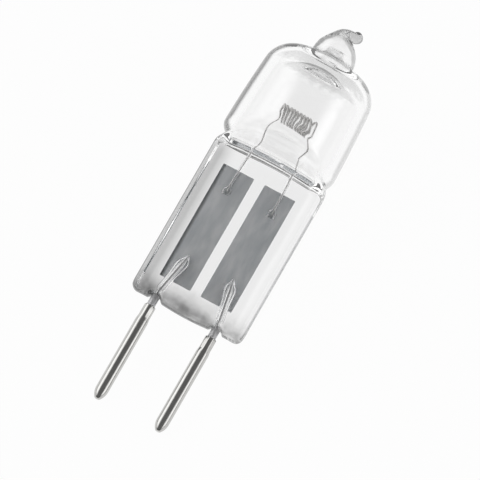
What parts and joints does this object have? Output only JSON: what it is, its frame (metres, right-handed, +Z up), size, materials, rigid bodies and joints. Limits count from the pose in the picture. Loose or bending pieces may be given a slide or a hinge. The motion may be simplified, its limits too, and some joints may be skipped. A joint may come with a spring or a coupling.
{
  "type": "halogen capsule bulb",
  "caption": "Clear quartz capsule lamp with a pinch seal, two plated pins, sealed foils, a coiled filament and a hooked exhaust tip, lying on its side.",
  "frame": {"origin": "on the surface the lamp lies on, under the centre of its bounding box", "axes": "+X towards the exhaust tip, the lamp's axis rising 10.2 degrees from the pins; +Z up, out of the broad face of the pinch; +Y towards the left pin"},
  "size_m": [0.0416, 0.0116, 0.0122],
  "materials": {
    "quartz": "clear fused quartz, fire polished",
    "tungsten": "drawn wire",
    "foil": "satin rolled foil",
    "lead_wire": "drawn wire",
    "plated_pin": "bright plate"
  },
  "bodies": {
    "root": {"quartz_envelope": "quartz", "filament": "tungsten", "foil_left": "foil", "foil_right": "foil", "lead_left": "lead_wire", "lead_right": "lead_wire", "pin_sleeve_left": "plated_pin", "pin_sleeve_right": "plated_pin"}
  },
  "joints": []
}
